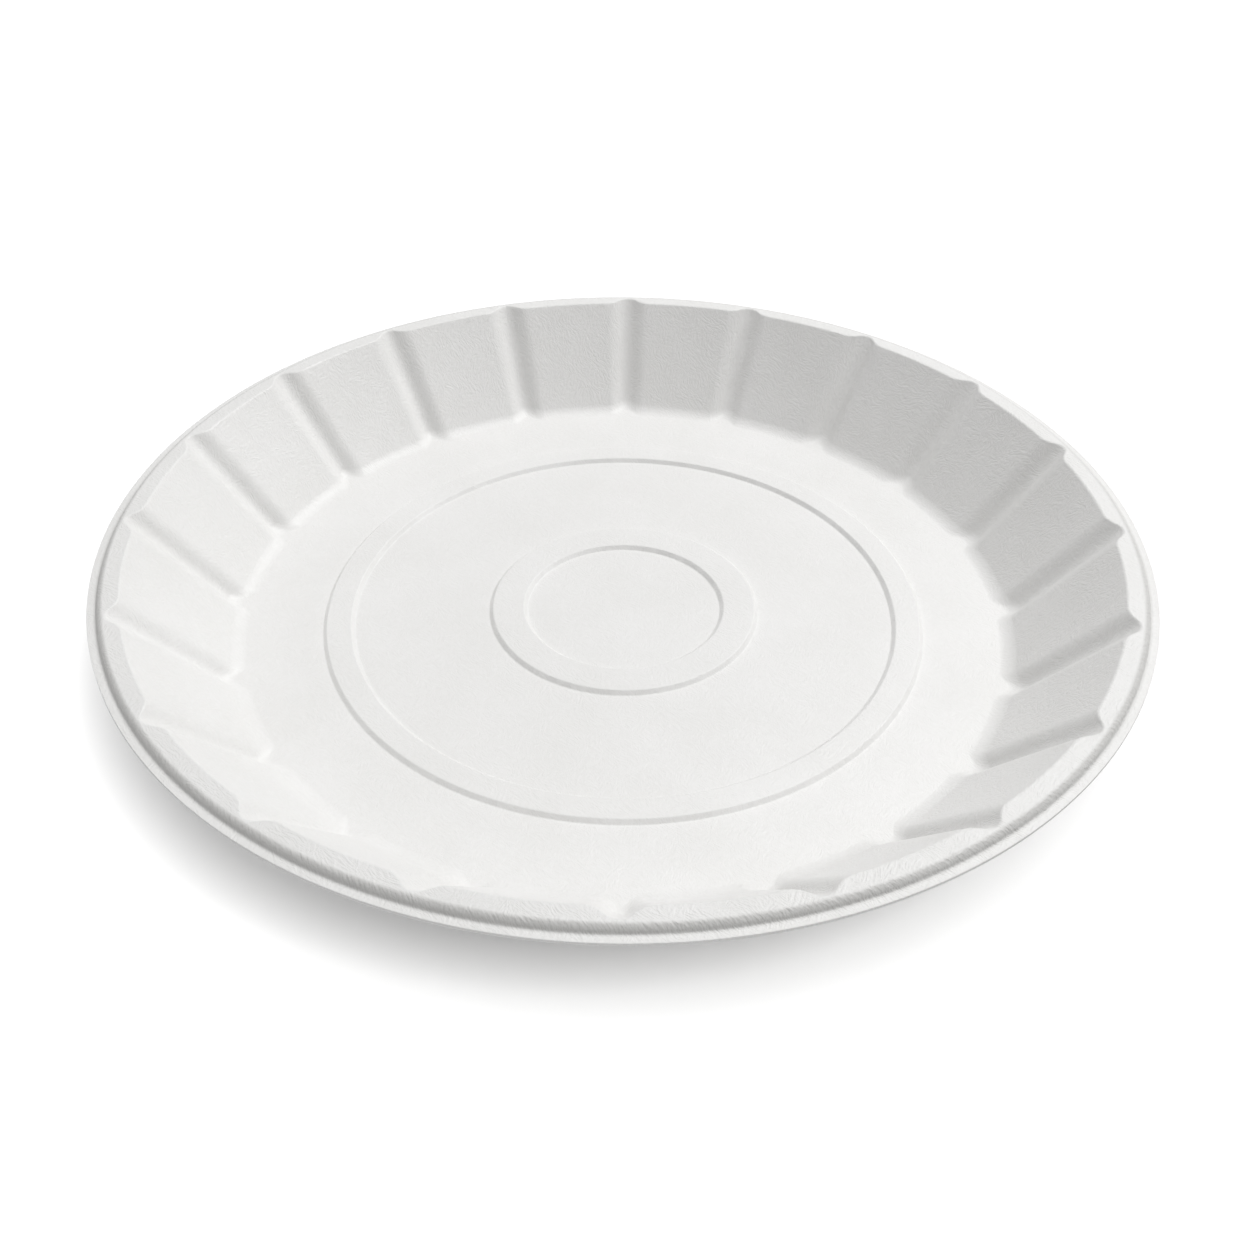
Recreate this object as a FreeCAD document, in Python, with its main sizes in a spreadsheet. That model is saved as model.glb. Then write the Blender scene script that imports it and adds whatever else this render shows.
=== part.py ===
import FreeCAD, Part
import math
import os
import re

import Sketcher

# Round bagasse tray: one pressed shell of plant fibre, with a flat floor, two raised ring
# bands, a sloping wall with outward flutes, a flat flange and a lip one step below it.
# The origin is the centre of the underside of the floor, +Z is up and a flute faces +X.

# Driving sizes, in millimetres apart from the count.
DRIVING_SIZES = [
    ("outerRadius", 130.0, "centre to the cut edge of the lip"),
    ("lipWidth", 2.0, "flat lip outside the step"),
    ("stepRun", 0.6, "radial run of the sloping step face"),
    ("stepDrop", 2.1, "height from the lip up to the flange"),
    ("shoulderBevel", 1.3, "softened edge between flange and step, along each face"),
    ("flangeLand", 0.5, "flat flange left between a flute and the softened edge"),
    ("trayDepth", 26.3, "top of the floor to the top of the flange"),
    ("wallRun", 22.9, "how far the wall leans out between floor and flange"),
    ("footRounding", 5.5, "inside rounding between floor and wall"),
    ("shellThickness", 0.8, "pressed fibre, the same all over"),
    ("fluteCount", 20, "flutes round the wall"),
    ("fluteDepth", 3.2, "how far a flute is pushed outwards"),
    ("fluteWidth", 14.0, "across a flute at the top of the wall"),
    ("innerBandRadius", 26.8, "inside of the inner ring band"),
    ("outerBandInset", 21.9, "outside of the outer ring band to the foot of the wall"),
    ("bandWidth", 7.5, "across each ring band, bevels included"),
    ("bandHeight", 0.6, "rise of the ring bands above the floor"),
    ("bandBevel", 0.7, "run of the bevel on each side of a band"),
]

# Sizes that follow from the driving ones. A shift is how far a corner of the underside
# stands out from the corner above it, so that the shell keeps its thickness. The window
# is the stretch of plain shell that a flute replaces; a flute reaches past it to its join.
DERIVED_SIZES = [
    ("stepRadius", "=outerRadius - lipWidth"),
    ("shoulderRadius", "=stepRadius - stepRun"),
    ("wallTopRadius", "=shoulderRadius - shoulderBevel - flangeLand - fluteDepth"),
    ("footRadius", "=wallTopRadius - wallRun"),
    ("outerBandRadius", "=footRadius - outerBandInset - bandWidth"),
    ("rimTop", "=shellThickness + trayDepth"),
    ("lipTop", "=rimTop - stepDrop"),
    ("wallSlope", "=atan2(trayDepth; wallRun)"),
    ("stepSlope", "=atan2(stepDrop; stepRun)"),
    ("bevelRun", "=shoulderBevel * cos(stepSlope)"),
    ("bevelDrop", "=shoulderBevel * sin(stepSlope)"),
    ("wallShift", "=shellThickness * tan(wallSlope / 2)"),
    ("stepShift", "=shellThickness * tan(stepSlope / 2)"),
    ("bandShift", "=shellThickness * tan(atan2(bandHeight; bandBevel) / 2)"),
    ("fluteAngle", "=fluteWidth / wallTopRadius * 180 / pi"),
    ("floorWindow", "=footRadius - footRounding * tan(wallSlope / 2) - shellThickness"),
    ("floorJoin", "=floorWindow - shellThickness"),
    ("flangeWindow", "=wallTopRadius + fluteDepth + wallShift"),
    ("flangeJoin", "=(flangeWindow + shoulderRadius - shoulderBevel) / 2"),
]

# Across one flute: share of its width, and share of its depth reached there. The edges
# start softly, the flanks are straight and the valley is rounded.
FLUTE_SHAPE = [(0, 0), (0.14, 0.12), (0.4, 0.92), (0.6, 0.92), (0.86, 0.12), (1, 0)]


def makeSheet(doc):
    sheet = doc.addObject("Spreadsheet::Sheet", "Sizes")
    rows = [(alias, str(value), note) for alias, value, note in DRIVING_SIZES]
    rows += [(alias, formula, "follows from the sizes above") for alias, formula in DERIVED_SIZES]
    for row, (alias, content, note) in enumerate(rows, start=1):
        sheet.set(f"A{row}", alias)
        sheet.set(f"B{row}", content)
        sheet.set(f"C{row}", note)
        sheet.setAlias(f"B{row}", alias)
        doc.recompute()
    return sheet


def onSheet(formula):
    """The formula with each size written as the sheet's cell."""
    return re.sub(r"[A-Za-z]+", lambda word: "Sizes." + word.group(), formula)


def originFeature(body, role):
    return next(feature for feature in body.Origin.OriginFeatures if feature.Role == role)


# Sketches: X is the radius and Y the height, on a plane through the tray's axis.


def newSketch(body, name, turn=0):
    """turn is the share of the flute angle by which the plane is turned round the axis."""
    sketch = body.newObject("Sketcher::SketchObject", name)
    sketch.AttachmentSupport = [(originFeature(body, "XZ_Plane"), "")]
    sketch.MapMode = "FlatFace"
    if turn:
        upright = FreeCAD.Rotation(FreeCAD.Vector(0, 1, 0), 1)
        sketch.AttachmentOffset = FreeCAD.Placement(FreeCAD.Vector(), upright)
        sketch.setExpression(".AttachmentOffset.Rotation.Angle", onSheet(f"fluteAngle * {turn}"))
    return sketch


def bind(sketch, constraint, name, formula):
    index = sketch.addConstraint(constraint)
    sketch.renameConstraint(index, name)
    sketch.setExpression(f"Constraints.{name}", onSheet(formula))


def drawOutline(sketch, sheet, corners):
    """A closed outline through corners of (name, radius, height, rounding). The sheet fixes
    each corner's radius and height; a rounded corner gets a tangent arc."""
    sizes = [[float(sheet.evalExpression(formula)) for formula in corner[1:]] for corner in corners]
    spots = [FreeCAD.Vector(radius, height, 0) for radius, height, _ in sizes]
    following = spots[1:] + spots[:1]
    entries, exits = [], []
    for before, spot, after, (_, _, rounding) in zip(spots[-1:] + spots, spots, following, sizes):
        towardsBefore = (before - spot).normalize()
        towardsAfter = (after - spot).normalize()
        reach = rounding / math.tan(towardsBefore.getAngle(towardsAfter) / 2)
        entries.append(spot + towardsBefore * reach)
        exits.append(spot + towardsAfter * reach)
    nextEntries = entries[1:] + entries[:1]
    lines = [sketch.addGeometry(Part.LineSegment(*ends)) for ends in zip(exits, nextEntries)]
    for i, (name, radius, height, rounding) in enumerate(corners):
        into, out = lines[i - 1], lines[i]
        if sizes[i][2]:
            mark = roundCorner(sketch, name, (into, out), (entries[i], spots[i], exits[i]), sizes[i][2])
            bind(sketch, Sketcher.Constraint("Radius", mark + 1, sizes[i][2]), name + "Rounding", rounding)
        else:
            sketch.addConstraint(Sketcher.Constraint("Coincident", into, 2, out, 1))
            mark = out
        across = Sketcher.Constraint("DistanceX", -1, 1, mark, 1, sizes[i][0])
        bind(sketch, across, name + "Radius", radius)
        up = Sketcher.Constraint("DistanceY", -1, 1, mark, 1, sizes[i][1])
        bind(sketch, up, name + "Height", height)


def roundCorner(sketch, name, lines, spots, radius):
    """A construction point where two lines would meet, then the arc that rounds them."""
    entry, corner, leave = spots
    mark = sketch.addGeometry(Part.Point(corner), True)
    halfAngle = (entry - corner).getAngle(leave - corner) / 2
    inwards = ((entry + leave) * 0.5 - corner).normalize()
    centre = corner + inwards * (radius / math.sin(halfAngle))
    turnsLeft = (corner - entry).cross(leave - corner).z > 0
    ends = (entry, leave) if turnsLeft else (leave, entry)
    angles = [math.atan2(end.y - centre.y, end.x - centre.x) for end in ends]
    circle = Part.Circle(centre, FreeCAD.Vector(0, 0, 1), radius)
    arc = sketch.addGeometry(Part.ArcOfCircle(circle, *angles))
    entryEnd, leaveEnd = (1, 2) if turnsLeft else (2, 1)
    sketch.addConstraint(Sketcher.Constraint("Tangent", lines[0], 2, arc, entryEnd))
    sketch.addConstraint(Sketcher.Constraint("Tangent", lines[1], 1, arc, leaveEnd))
    for line in lines:
        sketch.addConstraint(Sketcher.Constraint("PointOnObject", mark, 1, line))
    return mark


# Outlines: corners in order, out along the underside and back along the top.


def bandCorners(name, start, shift, base, crown):
    """The four corners of a ring band, outwards, on the underside or on the top."""
    return [
        (name + "Start", f"{start} + {shift}", base, "0"),
        (name + "Rise", f"{start} + bandBevel + {shift}", crown, "0"),
        (name + "Fall", f"{start} + bandWidth - bandBevel - {shift}", crown, "0"),
        (name + "End", f"{start} + bandWidth - {shift}", base, "0"),
    ]


def shellCorners():
    """Half the plain tray's section, from the axis to the cut edge and back."""
    top = ("0", "shellThickness", "shellThickness + bandHeight")
    below = ("bandShift", "0", "bandHeight")
    return [
        ("centreBelow", "0", "0", "0"),
        *bandCorners("innerBandBelow", "innerBandRadius", *below),
        *bandCorners("outerBandBelow", "outerBandRadius", *below),
        ("footBelow", "footRadius + wallShift", "0", "footRounding + shellThickness"),
        ("wallTopBelow", "wallTopRadius + wallShift", "rimTop - shellThickness", "0"),
        ("shoulderBelow", "shoulderRadius - stepShift", "rimTop - shellThickness", "0"),
        ("stepBelow", "stepRadius - stepShift", "lipTop - shellThickness", "0"),
        ("edgeBelow", "outerRadius", "lipTop - shellThickness", "0"),
        ("edge", "outerRadius", "lipTop", "0"),
        ("step", "stepRadius", "lipTop", "0"),
        ("bevelLow", "shoulderRadius + bevelRun", "rimTop - bevelDrop", "0"),
        ("bevelHigh", "shoulderRadius - shoulderBevel", "rimTop", "0"),
        ("wallTop", "wallTopRadius", "rimTop", "0"),
        ("foot", "footRadius", "shellThickness", "footRounding"),
        *reversed(bandCorners("outerBand", "outerBandRadius", *top)),
        *reversed(bandCorners("innerBand", "innerBandRadius", *top)),
        ("centre", "0", "shellThickness", "0"),
    ]


def fluteCorners(share):
    """Wall and flange where a flute has reached this share of its depth."""
    push = f"fluteDepth * {share}"
    return [
        ("floorJoinBelow", "floorJoin", "0", "0"),
        ("footBelow", f"footRadius + wallShift + {push}", "0", "footRounding + shellThickness"),
        ("wallTopBelow", f"wallTopRadius + wallShift + {push}", "rimTop - shellThickness", "0"),
        ("flangeJoinBelow", "flangeJoin", "rimTop - shellThickness", "0"),
        ("flangeJoin", "flangeJoin", "rimTop", "0"),
        ("wallTop", f"wallTopRadius + {push}", "rimTop", "0"),
        ("foot", f"footRadius + {push}", "shellThickness", "footRounding"),
        ("floorJoin", "floorJoin", "shellThickness", "0"),
    ]


def windowCorners():
    """A box round the wall and flange that a flute replaces, clear of them above and below."""
    return [
        ("floorBelow", "floorWindow", "-shellThickness", "0"),
        ("flangeBelow", "flangeWindow", "-shellThickness", "0"),
        ("flangeAbove", "flangeWindow", "rimTop + shellThickness", "0"),
        ("floorAbove", "floorWindow", "rimTop + shellThickness", "0"),
    ]


# Features of the one moulded body.


def addShell(body, sheet):
    section = newSketch(body, "ShellSection")
    drawOutline(section, sheet, shellCorners())
    shell = body.newObject("PartDesign::Revolution", "Shell")
    shell.Profile = section
    shell.ReferenceAxis = (section, ["V_Axis"])
    shell.Angle = 360


def addFluteWindow(body, sheet):
    section = newSketch(body, "WindowSection")
    drawOutline(section, sheet, windowCorners())
    window = body.newObject("PartDesign::Groove", "FluteWindow")
    window.Profile = section
    window.ReferenceAxis = (section, ["V_Axis"])
    window.setExpression("Angle", onSheet("fluteAngle"))
    return window


def addFlute(body, sheet):
    """The wall of one flute, from section to section across its width."""
    sections = []
    for i, (turn, share) in enumerate(FLUTE_SHAPE):
        section = newSketch(body, f"FluteSection{i}", turn)
        drawOutline(section, sheet, fluteCorners(share))
        sections.append(section)
    flute = body.newObject("PartDesign::AdditiveLoft", "Flute")
    flute.Profile = sections[0]
    flute.Sections = sections[1:]
    flute.Ruled = True
    return flute


def addFlutes(body, originals):
    flutes = body.newObject("PartDesign::PolarPattern", "Flutes")
    flutes.Originals = originals
    flutes.Axis = (originFeature(body, "Z_Axis"), [""])
    flutes.Angle = 360
    flutes.setExpression("Occurrences", onSheet("fluteCount"))
    body.Tip = flutes


def makeTray(doc, sheet):
    body = doc.addObject("PartDesign::Body", "Tray")
    body.Label = "tray"
    addShell(body, sheet)
    doc.recompute()
    plainVolume = body.Shape.Volume
    window = addFluteWindow(body, sheet)
    doc.recompute()
    if body.Shape.Volume >= plainVolume:
        raise RuntimeError("the window of a flute cuts nothing")
    flute = addFlute(body, sheet)
    doc.recompute()
    addFlutes(body, [window, flute])
    # Turned back by half a flute, so that the first one is centred on +X.
    body.Placement = FreeCAD.Placement(FreeCAD.Vector(), FreeCAD.Rotation(FreeCAD.Vector(0, 0, -1), 1))
    body.setExpression(".Placement.Rotation.Angle", onSheet("fluteAngle / 2"))
    return body


def joinFlatFaces(shape):
    """The flat faces of the flutes joined to the floor and flange that they continue."""
    joiner = Part.ShapeUpgrade.UnifySameDomain(shape)
    joiner.build()
    return joiner.shape()


def checkObjects(doc):
    for item in doc.Objects:
        if "Invalid" in item.State or "Error" in item.State:
            raise RuntimeError(f"{item.Name} failed to recompute: {item.State}")


def checkShape(name, shape):
    if shape.isNull() or not shape.isValid() or len(shape.Solids) != 1:
        raise RuntimeError(f"{name} is not one valid solid")
    box = shape.optimalBoundingBox(False)
    size = f"{box.XLength:.2f} x {box.YLength:.2f} x {box.ZLength:.2f} mm"
    print(f"{name}: {size}, {shape.Volume / 1000:.2f} cm3, {len(shape.Faces)} faces")


doc = FreeCAD.newDocument("BagasseTray")
tray = makeTray(doc, makeSheet(doc))
doc.recompute()
checkObjects(doc)
trayShape = joinFlatFaces(tray.Shape)
checkShape(tray.Label, trayShape)
os.makedirs("parts", exist_ok=True)
trayShape.exportStep(f"parts/{tray.Label}.step")
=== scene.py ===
import math

import bmesh
import bpy
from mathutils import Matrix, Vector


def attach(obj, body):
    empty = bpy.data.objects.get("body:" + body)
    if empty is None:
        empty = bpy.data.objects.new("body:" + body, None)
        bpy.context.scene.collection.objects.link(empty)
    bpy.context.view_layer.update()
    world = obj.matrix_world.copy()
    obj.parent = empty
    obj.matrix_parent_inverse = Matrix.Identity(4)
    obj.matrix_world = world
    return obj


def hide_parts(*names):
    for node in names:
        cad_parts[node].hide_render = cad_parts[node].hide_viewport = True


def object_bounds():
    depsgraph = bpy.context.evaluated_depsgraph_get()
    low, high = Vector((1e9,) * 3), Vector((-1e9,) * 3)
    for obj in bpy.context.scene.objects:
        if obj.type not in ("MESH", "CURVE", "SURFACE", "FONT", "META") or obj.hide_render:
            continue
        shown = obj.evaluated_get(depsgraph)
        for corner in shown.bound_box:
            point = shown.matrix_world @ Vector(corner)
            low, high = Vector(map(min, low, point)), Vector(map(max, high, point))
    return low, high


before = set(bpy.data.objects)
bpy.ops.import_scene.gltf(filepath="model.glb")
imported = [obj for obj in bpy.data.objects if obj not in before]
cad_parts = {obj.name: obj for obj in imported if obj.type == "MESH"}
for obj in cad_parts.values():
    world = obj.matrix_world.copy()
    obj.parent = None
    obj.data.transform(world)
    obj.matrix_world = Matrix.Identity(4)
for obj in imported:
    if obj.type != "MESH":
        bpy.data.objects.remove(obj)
cadLow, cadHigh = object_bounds()
print("frame loaded:", *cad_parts)

mm = 0.001
near = 0.01 * mm  # closer than this is the same place
mergeWithin = 0.1 * near
sameTurn = 0.0005  # radians, for telling one swept line from the next

trayLook = {
    "outerRadius": cadHigh.x,
    "rimTop": cadHigh.z,
    "thickness": 0.8 * mm,
    "lipWidth": 2.2 * mm,
    "stepRun": 0.45 * mm,
    "stepDrop": 1.55 * mm,
    "stepRounding": 0.5 * mm,
    "shoulderRounding": 1.6 * mm,
    "wallTopRadius": 122.4 * mm,
    "wallTopRounding": 0.9 * mm,
    "footRadius": 99.5 * mm,
    "footRounding": 5.5 * mm,
    "cutEdgeRounding": 0.12 * mm,
    "bands": ((25.2 * mm, 35.2 * mm), (69.8 * mm, 77.9 * mm)),  # inside and outside of each
    "bandHeight": 1.1 * mm,
    "bandBevel": 0.95 * mm,
    "bandRounding": 0.55 * mm,
    "centreHole": 3.0 * mm,  # closed with one face at the end
    "centreLoop": 0.6,  # share of the first band's inside
    "wallLoops": (0.15, 0.3, 0.5, 0.7, 0.9),  # shares of the way up the wall
    "segments": {"band": 2, "foot": 12, "wallTop": 5, "shoulder": 6, "step": 4, "cutEdge": 3},
    "flutes": 20,
    "fluteDepth": 3.2 * mm,
    "fluteHalfAngle": 3.1,
    "fluteSteepest": 0.4,  # share of the half angle
    # From the valley of a flute to its edge, and on to the middle of the panel beside it.
    "fluteAngles": (0, 0.26, 0.52, 0.78, 1.04, 1.3, 1.55, 1.8, 2.05, 2.3, 2.55, 2.83),
    "panelAngles": (3.1, 3.9, 5.1, 6.4, 7.7, 9),
    "smoothBelow": 35,  # edges that turn by less are shaded smooth
}


# Working as by hand: one piece in edit mode, its vertices picked by where they are.


def startEdit(piece):
    bpy.ops.object.select_all(action="DESELECT")
    bpy.context.view_layer.objects.active = piece
    piece.select_set(True)
    bpy.ops.object.mode_set(mode="EDIT")
    bpy.ops.mesh.select_mode(type="VERT")


def pick(piece, wanted):
    bpy.ops.mesh.select_all(action="DESELECT")
    work = bmesh.from_edit_mesh(piece.data)
    for vert in work.verts:
        vert.select = wanted(vert.co)
    work.select_flush(True)
    bmesh.update_edit_mesh(piece.data)


def outFromAxis(spot):
    return math.hypot(spot.x, spot.y)


def applyModifier(piece, kind, **settings):
    modifier = piece.modifiers.new(kind.title(), kind)
    for name, value in settings.items():
        setattr(modifier, name, value)
    bpy.ops.object.modifier_apply(modifier=modifier.name)


# The section of the tray's top side, outwards from the centre: radius, height, rounding, segments.


def bandCorners(look, band):
    inside, outside = band
    floorTop = look["thickness"]
    crown = floorTop + look["bandHeight"]
    corners = ((inside, floorTop), (inside + look["bandBevel"], crown),
               (outside - look["bandBevel"], crown), (outside, floorTop))
    return [(*corner, look["bandRounding"], look["segments"]["band"]) for corner in corners]


def sectionCorners(look):
    segments = look["segments"]
    floorTop = look["thickness"]
    rimTop = look["rimTop"]
    stepRadius = look["outerRadius"] - look["lipWidth"]
    lipTop = rimTop - look["stepDrop"]
    firstBand, secondBand = look["bands"]
    foot = (look["footRadius"], floorTop)
    wallTop = (look["wallTopRadius"], rimTop)
    wall = [tuple(low + (high - low) * share for low, high in zip(foot, wallTop))
            for share in look["wallLoops"]]
    return [
        (look["centreHole"], floorTop, 0, 0),
        (firstBand[0] * look["centreLoop"], floorTop, 0, 0),
        *bandCorners(look, firstBand),
        ((firstBand[1] + secondBand[0]) / 2, floorTop, 0, 0),
        *bandCorners(look, secondBand),
        ((secondBand[1] + foot[0]) / 2, floorTop, 0, 0),
        (*foot, look["footRounding"], segments["foot"]),
        *((*spot, 0, 0) for spot in wall),
        (*wallTop, look["wallTopRounding"], segments["wallTop"]),
        (stepRadius - look["stepRun"], rimTop, look["shoulderRounding"], segments["shoulder"]),
        (stepRadius, lipTop, look["stepRounding"], segments["step"]),
        (look["outerRadius"], lipTop, 0, 0),
    ]


def drawSection(name, corners):
    radius, height = corners[0][:2]
    bpy.ops.object.select_all(action="DESELECT")
    bpy.ops.mesh.primitive_plane_add(size=mm, location=(radius, 0, height))
    piece = bpy.context.object
    piece.name = piece.data.name = name
    bpy.ops.object.transform_apply(location=True)
    startEdit(piece)
    bpy.ops.mesh.merge(type="CENTER")  # the section starts from one vertex
    for (fromRadius, fromHeight, _, _), (radius, height, _, _) in zip(corners, corners[1:]):
        move = (radius - fromRadius, 0, height - fromHeight)
        bpy.ops.mesh.extrude_region_move(TRANSFORM_OT_translate={"value": move})
    for before, corner, after in zip(corners, corners[1:], corners[2:]):
        if corner[2]:
            roundCorner(piece, before, corner, after)
    return piece


def roundCorner(piece, before, corner, after):
    radius, height, rounding, segments = corner
    into = math.atan2(height - before[1], radius - before[0])
    out = math.atan2(after[1] - height, after[0] - radius)
    reach = rounding * math.tan(abs(out - into) / 2)
    pick(piece, lambda spot: math.hypot(spot.x - radius, spot.z - height) < near)
    bpy.ops.mesh.bevel(offset=reach, segments=segments, affect="VERTICES")


# Half a flute and half a panel are swept from the section, then the wall is pushed out
# for the flute.


def sweepHalfPanel(piece, look):
    bpy.ops.mesh.select_all(action="SELECT")
    angles = [math.radians(angle) for angle in look["fluteAngles"] + look["panelAngles"]]
    for angle, following in zip(angles, angles[1:]):  # spin needs a minus to go towards +Y
        bpy.ops.mesh.spin(steps=1, angle=angle - following, center=(0, 0, 0), axis=(0, 0, 1))


def fluteShare(across, steepest):
    # 1 in the valley and 0 at the edge, without a crease at either.
    if across < steepest:
        return 1 - across ** 2 / steepest
    return (1 - across) ** 2 / (1 - steepest)


def pushFluteOut(piece, look):
    rise = look["rimTop"] - look["thickness"]
    slope = math.atan2(rise, look["wallTopRadius"] - look["footRadius"])
    wallStart = look["footRadius"] - look["footRounding"] * math.tan(slope / 2) - near
    wallEnd = look["wallTopRadius"] + look["wallTopRounding"] * math.tan(slope / 2) + near
    for degrees in look["fluteAngles"]:
        angle = math.radians(degrees)
        pick(piece, lambda spot: wallStart < outFromAxis(spot) < wallEnd
             and abs(math.atan2(spot.y, spot.x) - angle) < sameTurn)
        share = fluteShare(degrees / look["fluteHalfAngle"], look["fluteSteepest"])
        push = look["fluteDepth"] * share
        bpy.ops.transform.translate(value=(push * math.cos(angle), push * math.sin(angle), 0))


def goRound(piece, look):
    copies = look["flutes"] - 1
    bpy.ops.mesh.select_all(action="SELECT")
    bpy.ops.mesh.symmetrize(direction="POSITIVE_Y", threshold=mergeWithin)
    bpy.ops.mesh.select_all(action="SELECT")
    turn = 2 * math.pi * copies / look["flutes"]
    bpy.ops.mesh.spin(steps=copies, dupli=True, angle=turn, center=(0, 0, 0), axis=(0, 0, 1))
    bpy.ops.mesh.select_all(action="SELECT")
    bpy.ops.mesh.remove_doubles(threshold=mergeWithin)
    pick(piece, lambda spot: outFromAxis(spot) < look["centreHole"] + near)
    bpy.ops.mesh.edge_face_add()


def faceUp(piece):
    bpy.ops.mesh.select_all(action="SELECT")
    bpy.ops.mesh.normals_make_consistent(inside=False)
    work = bmesh.from_edit_mesh(piece.data)
    if sum(face.normal.z * face.calc_area() for face in work.faces) < 0:
        bpy.ops.mesh.flip_normals()


def softenCutEdge(piece, look):
    # The two edges that run round the rim, without the short ones between them.
    rim = look["outerRadius"] - near
    pick(piece, lambda spot: outFromAxis(spot) > rim)
    bpy.ops.mesh.select_mode(type="EDGE")
    work = bmesh.from_edit_mesh(piece.data)
    for edge in work.edges:
        first, second = (vert.co for vert in edge.verts)
        if abs(first.z - second.z) > near:
            edge.select = False
    bmesh.update_edit_mesh(piece.data)
    segments = look["segments"]["cutEdge"]
    bpy.ops.mesh.bevel(offset=look["cutEdgeRounding"], segments=segments, affect="EDGES")


def makeTray(look):
    piece = drawSection("pressed_tray", sectionCorners(look))
    sweepHalfPanel(piece, look)
    pushFluteOut(piece, look)
    goRound(piece, look)
    faceUp(piece)
    bpy.ops.object.mode_set(mode="OBJECT")
    applyModifier(piece, "SOLIDIFY", thickness=look["thickness"], offset=-1, use_even_offset=True)
    startEdit(piece)
    softenCutEdge(piece, look)
    bpy.ops.object.mode_set(mode="OBJECT")
    bpy.ops.object.shade_smooth_by_angle(angle=math.radians(look["smoothBelow"]))
    # Flat stretches stay flat beside the roundings.
    applyModifier(piece, "WEIGHTED_NORMAL", keep_sharp=True)
    print("tray made,", len(piece.data.polygons), "faces")
    return piece


pressedTray = makeTray(trayLook)
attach(pressedTray, "root")
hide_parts("tray")


# Nodes for the materials and the world. Apart from addNode, each helper gives a socket.


def addNode(tree, kind, inputs=None, **settings):
    node = tree.nodes.new("ShaderNode" + kind)
    for name, value in settings.items():
        setattr(node, name, value)
    for name, value in (inputs or {}).items():
        if isinstance(value, bpy.types.NodeSocket):
            tree.links.new(value, node.inputs[name])
        else:
            node.inputs[name].default_value = value
    return node


def addMath(tree, operation, *values, **settings):
    inputs = dict(enumerate(values))
    return addNode(tree, "Math", inputs, operation=operation, **settings).outputs[0]


def addVectorMath(tree, operation, *values, output="Vector"):
    inputs = dict(enumerate(values))
    return addNode(tree, "VectorMath", inputs, operation=operation).outputs[output]


def addRange(tree, value, fromEnds=(0, 1), toEnds=(0, 1), **settings):
    inputs = {"Value": value, "From Min": fromEnds[0], "From Max": fromEnds[1],
              "To Min": toEnds[0], "To Max": toEnds[1]}
    return addNode(tree, "MapRange", inputs, **settings).outputs["Result"]


def addMix(tree, share, first, second, dataType="FLOAT"):
    firstAt, secondAt, result = {"FLOAT": (2, 3, 0), "RGBA": (6, 7, 2)}[dataType]  # its sockets
    inputs = {0: share, firstAt: first, secondAt: second}
    return addNode(tree, "Mix", inputs, data_type=dataType).outputs[result]


def addNoise(tree, spot, scale, detail=0, roughness=0.5, output="Fac"):
    inputs = {"Vector": spot, "Scale": scale, "Detail": detail, "Roughness": roughness}
    return addNode(tree, "TexNoise", inputs).outputs[output]


# Finish: matt white pressed fibre.

noiseSpan = (0.3, 0.7)  # nearly all that a noise texture gives lies between these

fibreLook = {
    "valleyColour": (0.865, 0.86, 0.845, 1),
    "crestColour": (0.905, 0.9, 0.89, 1),
    "colourPlaces": (0.25, 0.75),  # of these two on the ramp
    "roughness": (0.38, 0.5),
    "relief": 0.068 * mm,
    "clouds": 38,  # this and the other patterns' scales are so many to a metre
    "strandTone": 0.35,  # how much the fibres add to the clouds of colour
    "curl": 210,
    "curlReach": 2.6 * mm,
    "strands": 2100,
    "strandStretch": (1, 3.4, 2.2),
    "strandTurns": (48, -32),
    "strandRoughness": 0.6,
    "patches": 170,
    "patchEdges": (0.44, 0.56),  # how softly the two ways of the fibres meet
    "grain": 3600,
    "grainShare": 0.45,
    "floorRelief": 0.5,  # the floor is pressed smoother than the wall
    "floorFade": (0.05, 0.2),  # shares of the height between which that ends
    "stepAt": cadHigh.x - 2.65 * mm,
    "stepReach": (0.5 * mm, 1.3 * mm),  # full up to the first, gone at the second
    # painted shade: the step's crease is coloured darker to deepen its shading
    "paintedStepShade": (0.7, 0.695, 0.68, 1),
    "besideStep": 0.2,  # share of the rim's relief on the lip and the flange
    "rimWidth": 5 * mm,
    "rimStrands": 1700,
    "rimStretch": (1, 4.5, 2.5),
    "rimTurn": 42,
    "rimRelief": 1.5,
}


def addStrands(tree, spot, scale, stretch, degrees, look):
    turned = (0, 0, math.radians(degrees))
    inputs = {"Vector": spot, "Scale": stretch, "Rotation": turned}
    laid = addNode(tree, "Mapping", inputs, vector_type="TEXTURE").outputs[0]
    noise = addNoise(tree, laid, scale, detail=1, roughness=look["strandRoughness"])
    return addRange(tree, noise, noiseSpan, (-0.5, 0.5), clamp=False)


def shortFibres(tree, spot, look):
    # They curl, and are laid two ways in patches.
    curl = addNoise(tree, spot, look["curl"], output="Color")
    curled = addVectorMath(tree, "MULTIPLY_ADD", curl, (look["curlReach"],) * 3, spot)
    oneWay, otherWay = (
        addStrands(tree, curled, look["strands"], look["strandStretch"], degrees, look)
        for degrees in look["strandTurns"])
    patches = addRange(tree, addNoise(tree, spot, look["patches"]), look["patchEdges"])
    return addMix(tree, patches, oneWay, otherWay)


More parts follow.
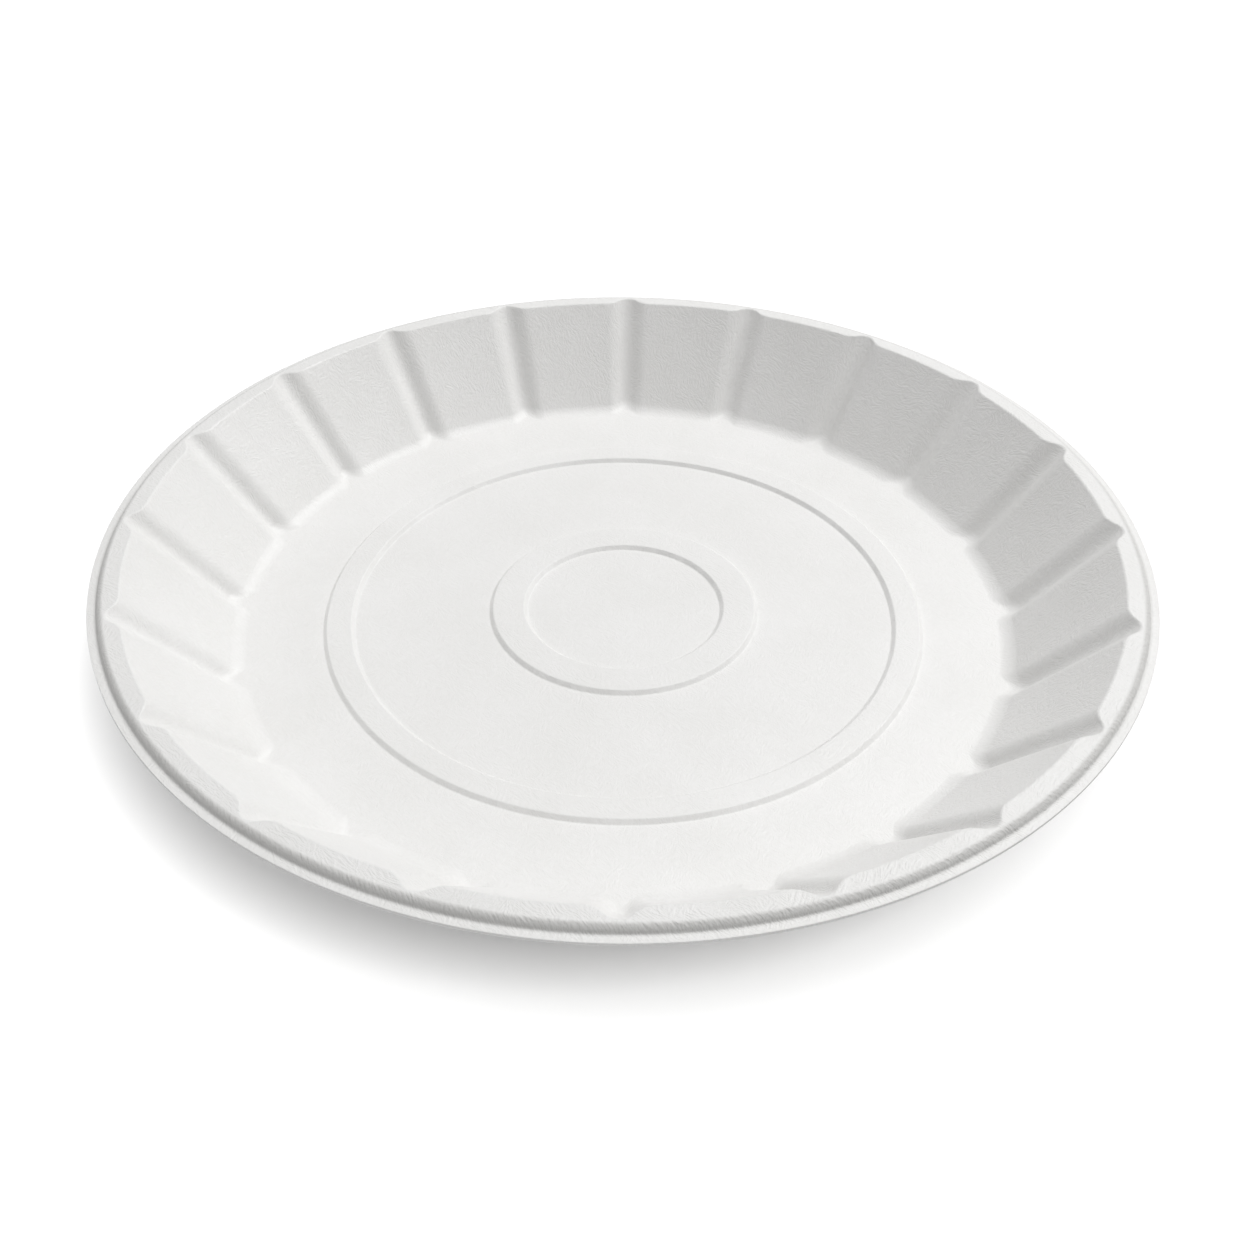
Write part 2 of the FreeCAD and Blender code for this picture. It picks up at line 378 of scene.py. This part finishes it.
def rimFibres(tree, parts, out, onStep, look):
    # Rough ones, slanting across the step. The turn's sign is dropped, so there's no seam at -X.
    turn = addMath(tree, "ARCTAN2", parts["Y"], parts["X"])
    along = addMath(tree, "MULTIPLY", addMath(tree, "ABSOLUTE", turn), cadHigh.x)
    rimSpot = addNode(tree, "CombineXYZ", {0: along, 1: out, 2: parts["Z"]}).outputs[0]
    strands = addStrands(tree, rimSpot, look["rimStrands"], look["rimStretch"],
                         look["rimTurn"], look)
    beside = look["rimRelief"] * look["besideStep"]
    relief = addRange(tree, onStep, toEnds=(beside, look["rimRelief"]))
    onRim = addMath(tree, "GREATER_THAN", out, cadHigh.x - look["rimWidth"])
    return addMath(tree, "MULTIPLY", strands, addMath(tree, "MULTIPLY", relief, onRim))


def mouldedFibre(look):
    material = bpy.data.materials.new("mouldedFibre")
    material.use_nodes = True
    tree = material.node_tree
    spot = addNode(tree, "TexCoord").outputs["Object"]
    parts = addNode(tree, "SeparateXYZ", {0: spot}).outputs
    flat = addVectorMath(tree, "MULTIPLY", spot, (1, 1, 0))
    out = addVectorMath(tree, "LENGTH", flat, output="Value")
    fromStep = addMath(tree, "ABSOLUTE", addMath(tree, "SUBTRACT", out, look["stepAt"]))
    onStep = addRange(tree, fromStep, look["stepReach"], (1, 0))

    # Relief: fibres, finer grain, and the rough fibres of the rim.
    fibres = shortFibres(tree, spot, look)
    fadeFrom, fadeTo = look["floorFade"]
    wall = addRange(tree, parts["Z"], (cadHigh.z * fadeFrom, cadHigh.z * fadeTo),
                    (look["floorRelief"], 1))
    grain = addNoise(tree, spot, look["grain"])
    pressed = addMath(tree, "MULTIPLY", fibres, wall)
    fine = addMath(tree, "MULTIPLY_ADD", grain, look["grainShare"], pressed)
    height = addMath(tree, "ADD", fine, rimFibres(tree, parts, out, onStep, look))
    bump = addNode(tree, "Bump", {"Height": height, "Distance": look["relief"]})

    # Colour: cloudy, a little deeper between the fibres, and darkest on the step, where shade is
    # painted into the colour.
    clouds = addNoise(tree, spot, look["clouds"], detail=2)
    mixed = addMath(tree, "MULTIPLY_ADD", fibres, look["strandTone"], clouds)
    paint = addNode(tree, "ValToRGB", {"Fac": mixed})
    colours = (look["valleyColour"], look["crestColour"])
    for end, place, colour in zip(paint.color_ramp.elements, look["colourPlaces"], colours):
        end.position, end.color = place, colour
    # the step gets its painted shade here
    tone = addMix(tree, onStep, paint.outputs["Color"], look["paintedStepShade"], dataType="RGBA")
    dull = addRange(tree, grain, noiseSpan, look["roughness"])

    shader = tree.nodes["Principled BSDF"]
    tree.links.new(tone, shader.inputs["Base Color"])
    tree.links.new(dull, shader.inputs["Roughness"])
    tree.links.new(bump.outputs["Normal"], shader.inputs["Normal"])
    return material


pressedTray.data.materials.append(mouldedFibre(fibreLook))
print("fibre finish made")


# The set: a pale floor, soft light and the camera.

setLook = {
    "floorSize": 6.0,
    "floorGap": 0.03 * mm,  # keeps the floor and the tray's foot from sharing a plane
    "floorBounce": 0.6,  # the floor's tone in the light that it gives back
    "floorShown": (2.3, 3.45),  # near the tray, darker there as painted shadow, and farther out
    "paintedShadowCentre": (-13 * mm, 9 * mm, 0),
    "paintedShadowReach": (0.118, 0.132),  # how far from that centre the first ends and the second starts
    "floorGlow": 0.65,  # the key's light off the floor, outside the tray's shadow
    "glowReach": (0.13, 0.17),  # it starts at the first and is full at the second
    # The room's light: towards, strength.
    "softSides": (
        ((0, 0, 1), 0.37),
        ((0.94, 0, 0.34), 0.29),
        ((-0.85, -0.29, 0.44), 0.18),
        ((0, -0.94, 0.34), 0.02),
    ),
    "keyPower": 24,
    "keySize": 1.1,
    "keyDistance": 2.0,
    "keyAzimuth": 47,
    "keyElevation": 57,
    "cameraTarget": (0.9 * mm, -8.5 * mm, 0.8 * mm),
    "cameraDistance": 0.3686,
    "cameraElevation": 39.135,
    "cameraRoll": 0.611,
    "cameraLens": 40.93,
}


def paleFloor(look):
    material = bpy.data.materials.new("paleFloor")
    material.use_nodes = True
    tree = material.node_tree
    tree.nodes.clear()
    rays = addNode(tree, "LightPath").outputs
    spot = addNode(tree, "TexCoord").outputs["Object"]

    # White to the camera, darker round the tray as a painted shadow, and plainer in the light that
    # it gives back.
    outOfPaintedShadow = addVectorMath(tree, "DISTANCE", spot, look["paintedShadowCentre"], output="Value")
    seen = addRange(tree, outOfPaintedShadow, look["paintedShadowReach"], look["floorShown"])
    shown = addRange(tree, rays["Is Camera Ray"], toEnds=(look["floorBounce"], seen))
    matt = addNode(tree, "BsdfDiffuse", {"Color": shown})

    # The key lights the tray alone, so the floor glows in its place, at the first bounce only.
    away = addVectorMath(tree, "LENGTH", spot, output="Value")
    litFloor = addRange(tree, away, look["glowReach"], (0, look["floorGlow"]))
    firstBounce = addMath(tree, "COMPARE", rays["Ray Depth"], 1, 0.5)  # within 0.5 of 1
    strength = addMath(tree, "MULTIPLY", litFloor, firstBounce)
    glow = addNode(tree, "Emission", {"Strength": strength})

    both = addNode(tree, "AddShader", {0: matt.outputs[0], 1: glow.outputs[0]})
    addNode(tree, "OutputMaterial", {"Surface": both.outputs[0]})
    return material


def makeFloor(look):
    bpy.ops.object.select_all(action="DESELECT")
    level = cadLow.z - look["floorGap"]
    bpy.ops.mesh.primitive_plane_add(size=look["floorSize"], location=(0, 0, level))
    floor = bpy.context.object
    floor.name = "floor"
    bpy.ops.object.transform_apply(location=True)
    floor.data.materials.append(paleFloor(look))


def makeWorld(look):
    world = bpy.data.worlds.new("softRoom")
    bpy.context.scene.world = world
    world.use_nodes = True
    tree = world.node_tree
    around = addNode(tree, "TexCoord").outputs["Generated"]
    rays = addNode(tree, "LightPath").outputs

    # Light from each side falls off as the cosine from it. The camera sees a white room.
    total = 0
    for towards, strength in look["softSides"]:
        facing = addVectorMath(tree, "DOT_PRODUCT", around, towards, output="Value")
        lit = addMath(tree, "MULTIPLY", facing, strength, use_clamp=True)
        total = addMath(tree, "ADD", total, lit)
    seen = 0
    for kind in ("Is Camera Ray", "Is Glossy Ray", "Is Transmission Ray"):
        seen = addMath(tree, "MAXIMUM", seen, rays[kind])
    level = addRange(tree, seen, toEnds=(total, 1))
    background = tree.nodes["Background"]
    background.inputs["Color"].default_value = (1, 1, 1, 1)
    tree.links.new(level, background.inputs["Strength"])


def makeKey(look, piece):
    azimuth, elevation = math.radians(look["keyAzimuth"]), math.radians(look["keyElevation"])
    across = math.cos(elevation)
    away = (math.cos(azimuth) * across, math.sin(azimuth) * across, math.sin(elevation))
    light = bpy.data.lights.new("keyLight", "AREA")
    light.size = look["keySize"]
    light.energy = look["keyPower"]
    lamp = bpy.data.objects.new("keyLight", light)
    lamp.location = [look["keyDistance"] * part for part in away]
    lamp.rotation_euler = (math.pi / 2 - elevation, 0, azimuth + math.pi / 2)
    bpy.context.scene.collection.objects.link(lamp)
    lit = bpy.data.collections.new("litByKey")
    lit.objects.link(piece)
    lamp.light_linking.receiver_collection = lit


def makeCamera(look):
    elevation = math.radians(look["cameraElevation"])
    data = bpy.data.cameras.new("camera")
    data.lens = look["cameraLens"]
    camera = bpy.data.objects.new("camera", data)
    x, y, z = look["cameraTarget"]
    back = look["cameraDistance"]
    camera.location = (x, y - back * math.cos(elevation), z + back * math.sin(elevation))
    camera.rotation_mode = "ZYX"
    camera.rotation_euler = (math.pi / 2 - elevation, 0, math.radians(look["cameraRoll"]))
    bpy.context.scene.collection.objects.link(camera)
    bpy.context.scene.camera = camera


makeFloor(setLook)
makeWorld(setLook)
makeKey(setLook, pressedTray)
makeCamera(setLook)
bpy.context.scene.view_settings.view_transform = "Standard"
print("set made")
